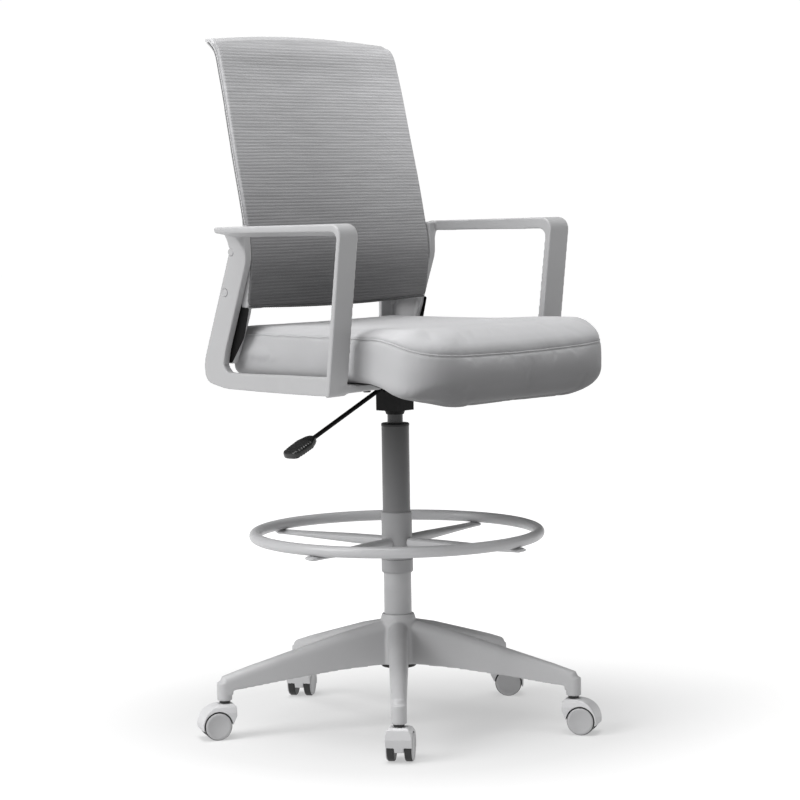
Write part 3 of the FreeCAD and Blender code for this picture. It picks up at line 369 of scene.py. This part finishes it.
def tube_along(name, path, radii, sides=10, closed=False):
    """Tube through a list of points, with a radius at each."""
    count = len(path)
    path = [Vector(p) for p in path]
    verts, faces = [], []
    normal = None
    for i, spot in enumerate(path):
        before = path[i - 1] if closed or i else path[0]
        after = path[(i + 1) % count] if closed or i < count - 1 else path[-1]
        along = (after - before).normalized()
        if normal is None:
            normal = along.cross(Vector((0.3, 0.5, 0.8))).normalized()
        normal = (normal - along * normal.dot(along)).normalized()
        across = along.cross(normal)
        for k in range(sides):
            turn = 2 * math.pi * k / sides
            verts.append(spot + (normal * math.cos(turn) + across * math.sin(turn)) * radii[i])
    for i in range(count if closed else count - 1):
        for k in range(sides):
            a, b = i * sides, ((i + 1) % count) * sides
            faces.append((a + k, a + (k + 1) % sides, b + (k + 1) % sides, b + k))
    if not closed:
        faces.append(tuple(reversed(range(sides))))
        faces.append(tuple((count - 1) * sides + k for k in range(sides)))
    return mesh_from(name, verts, faces)


def smooth_step(value, low, high):
    share = np.clip((value - low) / (high - low), 0.0, 1.0)
    return share * share * (3 - 2 * share)


# ---------------------------------------------------------------- seat cushion

SEAT_HALF, SEAT_REAR_HALF = 0.2635, 0.2205
SEAT_FRONT, SEAT_REAR = -0.3055, 0.2015
SEAM_DEPTH, SEAM_WIDTH = 0.0016, 0.0038
PUCKER_DEPTH, PUCKER_WIDTH = 0.0007, 0.016
PIPING_RADIUS = 0.00135
CUSHION_VOXEL, CUSHION_PRESSURE, CUSHION_CAP = 0.005, 4.0, 0.004
CLOTH_FRAMES = 20
SEAT_CORNERS = [
    (-SEAT_HALF, SEAT_FRONT, 0.072), (SEAT_HALF, SEAT_FRONT, 0.072), (SEAT_HALF, -0.204, 0.2),
    (SEAT_HALF - 0.020, -0.060, 0.4), (SEAT_REAR_HALF, SEAT_REAR, 0.020),
    (-SEAT_REAR_HALF, SEAT_REAR, 0.020), (0.020 - SEAT_HALF, -0.060, 0.4), (-SEAT_HALF, -0.204, 0.2),
]


def rounded_loop(corners, spacing):
    """Evenly spaced points round a polygon whose corners are arcs, with the outward direction of each."""
    trace = []
    count = len(corners)
    for i, (x, y, radius) in enumerate(corners):
        here = Vector((x, y))
        back = (Vector(corners[i - 1][:2]) - here).normalized()
        ahead = (Vector(corners[(i + 1) % count][:2]) - here).normalized()
        half = back.angle(ahead) / 2
        centre = here + (back + ahead).normalized() * (radius / math.sin(half))
        start, end = here + back * (radius / math.tan(half)), here + ahead * (radius / math.tan(half))
        first, last = (start - centre), (end - centre)
        steps = 16
        for k in range(steps + 1):
            trace.append(centre + (first.lerp(last, k / steps)).normalized() * radius)
    lengths = [0.0]
    ring = trace + [trace[0]]
    for a, b in zip(ring, ring[1:]):
        lengths.append(lengths[-1] + (b - a).length)
    total = int(lengths[-1] / spacing)
    wanted = np.linspace(0.0, lengths[-1], total, endpoint=False)
    xs = np.interp(wanted, lengths, [p.x for p in ring])
    ys = np.interp(wanted, lengths, [p.y for p in ring])
    spots = np.stack([xs, ys], axis=1)
    along = np.roll(spots, -1, axis=0) - np.roll(spots, 1, axis=0)
    along /= np.linalg.norm(along, axis=1, keepdims=True)
    outward = np.stack([along[:, 1], -along[:, 0]], axis=1)
    return spots, outward


def seat_top(x, y):
    """Height of the sitting surface away from its edges: slightly dished, and a little higher in front."""
    dish = 0.0045 * np.exp(-(x / 0.13) ** 2 - ((y - 0.02) / 0.12) ** 2)
    return 0.7265 + 0.004 * smooth_step(-y, 0.06, 0.19) - dish


def seam_height(x, y):
    side = 0.7195 - 0.0245 * smooth_step(-y, 0.165, 0.305) ** 1.1
    front = 0.0065 * (1 - (x / SEAT_HALF) ** 2) * smooth_step(-y, 0.24, 0.30)
    return side - front


def seat_bottom(x, y):
    falling = np.interp(-y, [0.0, 0.139, 0.184, 0.226, 0.262, 0.33], [0.6425, 0.6425, 0.6325, 0.615, 0.602, 0.600])
    corner = 0.013 * smooth_step(np.abs(x), 0.15, 0.26) * smooth_step(-y, 0.20, 0.27)
    return falling + corner


def cushion_rings():
    """Closed stack of rings from the middle of the underside, out and up the wall, to the middle of the top."""
    spots, outward = rounded_loop(SEAT_CORNERS, 0.009)
    frontness = smooth_step(-outward[:, 1], 0.25, 0.95)
    rings = []
    foot_run = 0.013 + 0.018 * frontness
    wall_foot = seat_bottom(spots[:, 0] * 0.97, spots[:, 1] * 0.97)
    seam = seam_height(spots[:, 0], spots[:, 1])
    for share in (0.1, 0.35, 0.6, 0.8):
        place = spots * share + np.array([0.0, -0.02]) * (1 - share)
        rings.append(np.column_stack([place, seat_bottom(place[:, 0], place[:, 1])]))
    foot_rise = 0.016 + 0.018 * frontness
    for turn in np.radians([0, 20, 40, 60, 80]):
        place = spots - outward * (foot_run * (1 - math.sin(turn)))[:, None]
        rings.append(np.column_stack([place, wall_foot + foot_rise * (1 - math.cos(turn))]))
    for share in (0.5, 0.8, 1.0):
        height = (wall_foot + foot_rise) * (1 - share) + seam * share
        bulge = 0.0015 * share - 0.0035 * share ** 3
        rings.append(np.column_stack([spots + outward * bulge, height]))
    roll = 0.036 + 0.048 * frontness
    for turn in np.radians([12, 25, 40, 55, 70, 85]):
        place = spots - outward * (0.002 + roll * (1 - math.cos(turn)))[:, None]
        lift = (seat_top(place[:, 0], place[:, 1]) - seam) * math.sin(turn)
        rings.append(np.column_stack([place, seam + lift]))
    inner = rings[-1][:, :2]
    middle = np.array([0.0, -0.04])
    for share in (0.85, 0.65, 0.45, 0.25, 0.08):
        place = middle + (inner - middle) * share
        rings.append(np.column_stack([place, seat_top(place[:, 0], place[:, 1])]))
    return rings


def ring_stack(name, rings):
    count = len(rings[0])
    verts = np.concatenate(rings)
    faces = [tuple(reversed(range(count)))]
    for level in range(len(rings) - 1):
        low, high = level * count, (level + 1) * count
        faces += [(low + k, low + (k + 1) % count, high + (k + 1) % count, high + k) for k in range(count)]
    faces.append(tuple((len(rings) - 1) * count + k for k in range(count)))
    return mesh_from(name, verts, faces)


def inflated(piece, pressure, cap):
    """Cloth under pressure, run for a few frames; no point moves further than the cap."""
    start = points_of(piece).copy()
    cloth = piece.modifiers.new("cloth", "CLOTH")
    cloth.settings.use_pressure = True
    cloth.settings.uniform_pressure_force = pressure
    cloth.settings.effector_weights.gravity = 0.0
    cloth.settings.quality = 4
    cloth.collision_settings.use_collision = False
    cloth.collision_settings.use_self_collision = False
    cloth.point_cache.frame_start, cloth.point_cache.frame_end = 1, CLOTH_FRAMES
    for step in range(1, CLOTH_FRAMES + 1):
        SCENE.frame_set(step)
    applied(piece)
    move = points_of(piece) - start
    far = np.linalg.norm(move, axis=1, keepdims=True)
    set_points(piece, start + move * np.minimum(1.0, cap / np.maximum(far, 1e-9)))
    SCENE.frame_set(1)


def nearest_on(piece, spots):
    tree = BVHTree.FromObject(piece, bpy.context.evaluated_depsgraph_get())
    return [tree.find_nearest(Vector(spot))[:2] for spot in spots]


def seat_cushion():
    cushion = ring_stack("seat_cushion_cover", cushion_rings())
    remeshed(cushion, CUSHION_VOXEL, 4)
    inflated(cushion, CUSHION_PRESSURE, CUSHION_CAP)
    finer = cushion.modifiers.new("finer", "SUBSURF")
    finer.levels = finer.render_levels = 1
    applied(cushion)
    spots, _ = rounded_loop(SEAT_CORNERS, 0.003)
    guide = [(x, y, seam_height(x, y)) for x, y in spots]
    seam = [place for place, _ in nearest_on(cushion, guide)]
    count = len(seam)
    smoothed = [sum((seam[(i + k) % count] for k in range(-2, 3)), Vector()) / 5 for i in range(count)]
    tree = KDTree(len(smoothed))
    for i, spot in enumerate(smoothed):
        tree.insert(spot, i)
    tree.balance()
    points = points_of(cushion)
    normals = np.empty(len(points) * 3)
    cushion.data.vertices.foreach_get("normal", normals)
    normals = normals.reshape(-1, 3)
    gaps = np.array([tree.find(Vector(p))[2] for p in points])
    crease = SEAM_DEPTH * np.exp(-(gaps / SEAM_WIDTH) ** 2)
    pucker = np.array([noise.noise(Vector(p) * 55.0) for p in points])
    pucker = pucker * PUCKER_DEPTH * np.exp(-(gaps / PUCKER_WIDTH) ** 2)
    set_points(cushion, points - normals * (crease - pucker)[:, None])
    stands_for(cushion, "seat_fabric", "seat_cushion")
    laid = nearest_on(cushion, smoothed)
    path = [place + side * 0.0004 for place, side in laid]
    piping = tube_along("seat_piping", path, [PIPING_RADIUS] * len(path), 8, closed=True)
    piping.data.materials.append(MATERIALS["seat_fabric"])
    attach(piping, "seat")


# ---------------------------------------------------------------- back

PROFILE = [(0.130, 0.735), (0.126, 0.771), (0.119, 0.820), (0.1175, 0.862), (0.124, 0.905), (0.137, 0.971),
           (0.150, 1.030), (0.164, 1.095), (0.179, 1.164), (0.187, 1.196), (0.191, 1.211), (0.197, 1.223),
           (0.206, 1.233), (0.217, 1.242), (0.230, 1.252)]
RIB_PITCH = 0.0056
CORD_STEP = 0.0011
HEM_RADIUS = 0.0014


def profile_depth():
    """Smooth y of the back's front surface at a height, with its slope: a natural cubic spline."""
    y = np.array([p[0] for p in PROFILE])
    z = np.array([p[1] for p in PROFILE])
    step = np.diff(z)
    size = len(z)
    matrix = np.eye(size)
    right = np.zeros(size)
    for i in range(1, size - 1):
        matrix[i, i - 1:i + 2] = step[i - 1], 2 * (step[i - 1] + step[i]), step[i]
        right[i] = 6 * ((y[i + 1] - y[i]) / step[i] - (y[i] - y[i - 1]) / step[i - 1])
    bend = np.linalg.solve(matrix, right)

    def at(height):
        i = np.clip(np.searchsorted(z, height) - 1, 0, size - 2)
        a, b, h = z[i + 1] - height, height - z[i], step[i]
        value = (bend[i] * a ** 3 + bend[i + 1] * b ** 3) / (6 * h)
        value += (y[i] / h - bend[i] * h / 6) * a + (y[i + 1] / h - bend[i + 1] * h / 6) * b
        slope = (bend[i + 1] * b ** 2 - bend[i] * a ** 2) / (2 * h)
        slope += (y[i + 1] - y[i]) / h - (bend[i + 1] - bend[i]) * h / 6
        return value, slope
    return at


BACK_LINE = profile_depth()


def back_point(x, height, depth):
    """Point of the back at a depth behind its front surface."""
    y, slope = BACK_LINE(height)
    scale = 1 / np.sqrt(1 + slope ** 2)
    return np.stack(np.broadcast_arrays(x, y + depth * scale, height - depth * slope * scale), axis=-1)


def back_half_width(height):
    return 0.2415 - 0.0055 * np.clip((height - 1.0) / 0.2385, 0.0, 1.0)


def back_edges(x):
    """Heights of the bottom and top edge of the back at a distance from its middle."""
    away = np.abs(x)
    low = np.where(away < 0.159, 0.75913 + away ** 2 / 9.6, 0.7565 + away * 0.03313)
    high = np.where(away < 0.162, 1.249 - away ** 2 / 4.8, 1.2385 + (0.236 - away) * 0.0678)
    return low, high


def back_panel():
    """Knitted panel with its horizontal ribs, turned round the edges of the rim."""
    columns = np.concatenate([[-1.0, -1.0, -1.0, -0.998, -0.994], np.linspace(-0.985, 0.985, 61),
                              [0.994, 0.998, 1.0, 1.0, 1.0]])
    wraps = np.concatenate([[0.0062, 0.0042, 0.0024, 0.0011, 0.0003], np.zeros(61),
                            [0.0003, 0.0011, 0.0024, 0.0042, 0.0062]])
    rows = np.linspace(0.0, 1.0, 540)
    corner = 0.010
    verts = []
    for share in rows:
        rough = back_point(0.0, 0.765 + 0.475 * share, 0.0)[2]
        wide = back_half_width(rough) - 0.0008
        low, high = back_edges(columns * wide)
        low, high = low + 0.0015, high - 0.0022
        height = low + (high - low) * share
        to_end = np.minimum((high - low) * share, (high - low) * (1 - share))
        cut = corner - np.sqrt(np.maximum(corner ** 2 - np.maximum(corner - to_end, 0.0) ** 2, 0.0))
        x = columns * (wide - cut)
        waver = np.array([noise.noise(Vector((cx * 9.0, 0.0, height[i] * 16.0))) for i, cx in enumerate(x)])
        phase = (height + 0.0022 * waver * (0.25 + np.abs(columns) ** 4)) / RIB_PITCH
        rib = 0.00055 * np.abs(np.sin(np.pi * phase)) ** 0.8
        fade = smooth_step(to_end, 0.0, 0.004)
        slack = 0.0006 * np.array([noise.noise(Vector((cx * 5.0, 3.0, height[i] * 7.0))) for i, cx in enumerate(x)])
        turned_in = 0.0035 * (1 - smooth_step(to_end, 0.0, 0.005))
        depth = wraps + turned_in + 0.0004 - (rib * fade + slack) * (wraps < 0.004)
        verts.append(back_point(x, height, depth))
    count = len(columns)
    faces = [(r * count + c, r * count + c + 1, (r + 1) * count + c + 1, (r + 1) * count + c)
             for r in range(len(rows) - 1) for c in range(count - 1)]
    panel = mesh_from("back_mesh_panel", np.concatenate(verts), faces)
    thick = panel.modifiers.new("thick", "SOLIDIFY")
    thick.thickness = 0.0013
    thick.offset = -1.0
    applied(panel)
    stands_for(panel, "mesh_fabric", "back_mesh")


def edge_cord(name, depth, stand_off, radius, beads, material, z_low, z_high):
    """Pair of cords up the two side edges of the back, at one depth behind its front."""
    sides = []
    heights = np.arange(z_low, z_high, CORD_STEP)
    for side in (-1, 1):
        path = back_point(side * (back_half_width(heights) + stand_off), heights, depth)
        lengths = np.concatenate([[0.0], np.cumsum(np.linalg.norm(np.diff(path, axis=0), axis=1))])
        thickness = radius * (1 + beads * np.cos(2 * np.pi * lengths / RIB_PITCH))
        sides.append(tube_along(f"{name}_{'right' if side < 0 else 'left'}", path, thickness, 8))
    for cord in sides:
        cord.data.materials.append(MATERIALS[material])
        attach(cord, "seat")
    return sides


def lower_hem():
    """Narrow sewn hem along the arched lower edge of the mesh."""
    xs = np.arange(-0.237, 0.2371, CORD_STEP)
    low, _ = back_edges(xs)
    path = back_point(xs, low + 0.0012, 0.0012)
    lengths = np.concatenate([[0.0], np.cumsum(np.linalg.norm(np.diff(path, axis=0), axis=1))])
    hem = tube_along("back_lower_hem", path, HEM_RADIUS * (1 + 0.12 * np.cos(2 * np.pi * lengths / RIB_PITCH)), 8)
    stands_for(hem, "strip_fabric", "mesh_edge_strip")
    hem.data.materials[0] = MATERIALS["groove_shade"]


def back():
    rim = moulding("back_frame", "back_rim", "frame_plastic", 0.0016, 4)
    points = points_of(rim)
    upper = smooth_step(points[:, 2], 0.908, 0.925) * smooth_step(np.abs(points[:, 0]), 0.222, 0.232)
    points[:, 0] -= np.sign(points[:, 0]) * 0.0016 * upper
    set_points(rim, points)
    back_panel()
    lower_hem()
    edge_cord("back_bead", 0.0074, -0.0006, 0.0014, 0.22, "strip_fabric", 0.912, 1.244)
    # Painted shade: a near-black cord laid along the rim's side edge, for the shadow in its groove.
    edge_cord("back_groove_shadow", 0.0101, -0.0016, 0.0014, 0.0, "groove_shade", 0.912, 1.240)


# ---------------------------------------------------------------- lever grip

def lever_grip():
    """Flat glossy paddle with a row of finger ribs across both faces."""
    slope = math.radians(22.4)
    outward = Vector((-math.cos(slope), 0.0, -math.sin(slope)))
    upward = Vector((-math.sin(slope), 0.0, math.cos(slope)))
    across = Vector((0.0, 1.0, 0.0))
    start = Vector((-0.020, 0.0, 0.6205)) + outward * 0.214
    length, stations, sides = 0.0675, 70, 28
    shares = [0.0, 0.03, 0.12, 0.35, 0.7, 0.9, 0.97, 1.0]
    widths = [0.0055, 0.0085, 0.0118, 0.0192, 0.0186, 0.0168, 0.0140, 0.0070]
    heights = [0.0046, 0.0066, 0.0080, 0.0082, 0.0082, 0.0078, 0.0062, 0.0026]
    verts = []
    for i in range(stations):
        share = i / (stations - 1)
        width = np.interp(share, shares, widths)
        height = np.interp(share, shares, heights)
        ribbed = smooth_step(share, 0.30, 0.36) * (1 - smooth_step(share, 0.84, 0.90))
        height -= 0.0015 * ribbed * (0.5 - 0.5 * math.cos(2 * math.pi * share * length / 0.0058))
        for k in range(sides):
            turn = 2 * math.pi * k / sides
            c, s = math.cos(turn), math.sin(turn)
            u = math.copysign(abs(c) ** 0.5, c) * width
            v = math.copysign(abs(s) ** 0.5, s) * height
            verts.append(start + outward * (length * share) + across * u + upward * v)
    faces = [tuple(reversed(range(sides)))]
    for i in range(stations - 1):
        a, b = i * sides, (i + 1) * sides
        faces += [(a + k, a + (k + 1) % sides, b + (k + 1) % sides, b + k) for k in range(sides)]
    faces.append(tuple((stations - 1) * sides + k for k in range(sides)))
    grip = mesh_from("lever_paddle", verts, faces)
    stands_for(grip, "grip_plastic", "lever_grip")


# ---------------------------------------------------------------- casters

def wheel_cap(number, side):
    """Pale dished disc that fills the outer face of a dark-treaded wheel."""
    wheel = NODES[f"caster_{number}_wheel_{side}"]
    wheel.data.materials[0] = MATERIALS["tread_shade"]
    joint = next(j for j in frame["record"]["behaviour"]["joints"] if j["name"] == f"caster_{number}_spin_{side}")
    centre, axle = Vector(joint["pos_m"]), Vector(joint["axis"]).normalized()
    if (sum((Vector(c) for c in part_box(wheel.name)), Vector()) / 2 - centre).dot(axle) < 0:
        axle = -axle
    across = axle.cross(Vector((0.0, 0.0, 1.0)))
    upward = across.cross(axle)
    rings = [(0.0236, 0.0205), (0.0236, 0.0224), (0.0230, 0.0230),
             (0.0185, 0.0232), (0.0180, 0.0229), (0.0004, 0.0232)]
    sides = 64
    verts = []
    for radius, out in rings:
        for k in range(sides):
            turn = 2 * math.pi * k / sides
            verts.append(centre + axle * out + (across * math.cos(turn) + upward * math.sin(turn)) * radius)
    faces = [tuple(range(sides))]
    for level in range(len(rings) - 1):
        a, b = level * sides, (level + 1) * sides
        faces += [(a + k, b + k, b + (k + 1) % sides, a + (k + 1) % sides) for k in range(sides)]
    faces.append(tuple((len(rings) - 1) * sides + k for k in reversed(range(sides))))
    cap = mesh_from(f"caster_{number}_cap_{side}", verts, faces)
    cap.data.materials.append(MATERIALS["wheel_nylon"])
    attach(cap, f"caster_{number}_roller_{side}")


seat_cushion()
back()
lever_grip()
for side in ("left", "right"):
    moulding(f"arm_{side}", f"arm_{side}_moulding", "arm_plastic", 0.0018, 6)
moulding("base_star", "base_star_moulding", "base_plastic", 0.0018, 6)
for number in range(1, 6):
    moulding(f"caster_{number}_hood", f"caster_{number}_hood_moulding", "hood_plastic", 0.0007, 5)
    for side in ("left", "right"):
        wheel_cap(number, side)

# ---------------------------------------------------------------- stage, light and camera

def area_light(name, place, target, width, height, power):
    data = bpy.data.lights.new(name, "AREA")
    data.shape = "RECTANGLE"
    data.size, data.size_y = width, height
    data.energy = power
    light = bpy.data.objects.new(name, data)
    light.location = place
    light.rotation_euler = (Vector(target) - Vector(place)).to_track_quat("-Z", "Y").to_euler()
    SCENE.collection.objects.link(light)
    return light


def stage():
    """White sweep: a pale floor, and a sky that is white at the horizon and dimmer above."""
    bpy.ops.mesh.primitive_plane_add(size=40.0, location=(0.0, 0.0, 0.0))
    floor = bpy.context.object
    floor.name = "floor"
    shader = Shader("floor_paint")
    color = shader.blend(shader.noise(1.2, 2.0), grey(0.36), grey(0.38))
    away = shader.add("ShaderNodeVectorMath", {"operation": "LENGTH"})
    shader.links.new(shader.coords, away.inputs[0])
    glow = shader.mapped(away.outputs["Value"], 0.44, 0.92, 0.4, 1.4)
    towards_front = shader.mapped(shader.axes(shader.coords)[1], 0.6, 1.0, -1.9, -1.1)
    shader.links.new(shader.math("MULTIPLY", glow, towards_front), shader.bsdf.inputs["Emission Strength"])
    floor.data.materials.append(shader.finish(color, 0.7, None, Specular_IOR_Level=0.2,
                                              Emission_Color=(1.0, 1.0, 1.0, 1.0)))
    world = bpy.data.worlds.new("studio")
    world.use_nodes = True
    nodes, links = world.node_tree.nodes, world.node_tree.links
    split = nodes.new("ShaderNodeSeparateXYZ")
    links.new(nodes.new("ShaderNodeTexCoord").outputs["Generated"], split.inputs[0])
    level = nodes.new("ShaderNodeMath")
    level.operation = "ABSOLUTE"
    links.new(split.outputs["Z"], level.inputs[0])
    fade = nodes.new("ShaderNodeMapRange")
    fade.inputs["From Min"].default_value, fade.inputs["From Max"].default_value = 0.075, 0.16
    fade.inputs["To Min"].default_value, fade.inputs["To Max"].default_value = 1.02, 0.2
    links.new(level.outputs[0], fade.inputs["Value"])
    links.new(fade.outputs["Result"], nodes["Background"].inputs["Strength"])
    nodes["Background"].inputs["Color"].default_value = (1.0, 1.0, 1.0, 1.0)
    SCENE.world = world
    centre = Vector((0.0, 0.0, 0.6))
    area_light("key", (-3.2, 0.9, 2.6), centre, 2.0, 2.0, 106.0)
    area_light("top", (-0.4, -0.1, 3.8), centre, 2.4, 2.4, 140.0)


def camera():
    azimuth, distance, height = math.radians(-49.02), 4.680, 0.977
    pitch, roll = 0.0825, 0.0152
    focal_share, side_shift = 2610.0 / 800.0, 0.00645
    back_dir = Vector((math.sin(azimuth), -math.cos(azimuth), 0.0))
    up = Vector((0.0, 0.0, 1.0))
    look = -back_dir * math.cos(pitch) - up * math.sin(pitch)
    crown = up * math.cos(pitch) - back_dir * math.sin(pitch)
    side = look.cross(crown)
    turn = Matrix.Rotation(roll, 3, look)
    side, crown = turn @ side, turn @ crown
    data = bpy.data.cameras.new("camera")
    data.sensor_width = 36.0
    data.lens = 36.0 * focal_share
    data.shift_x = side_shift
    data.clip_start, data.clip_end = 0.1, 60.0
    cam = bpy.data.objects.new("camera", data)
    pose = Matrix((side, crown, -look)).transposed().to_4x4()
    pose.translation = back_dir * distance + up * height
    cam.matrix_world = pose
    SCENE.collection.objects.link(cam)
    SCENE.camera = cam


stage()
camera()
SCENE.view_settings.view_transform = "Standard"
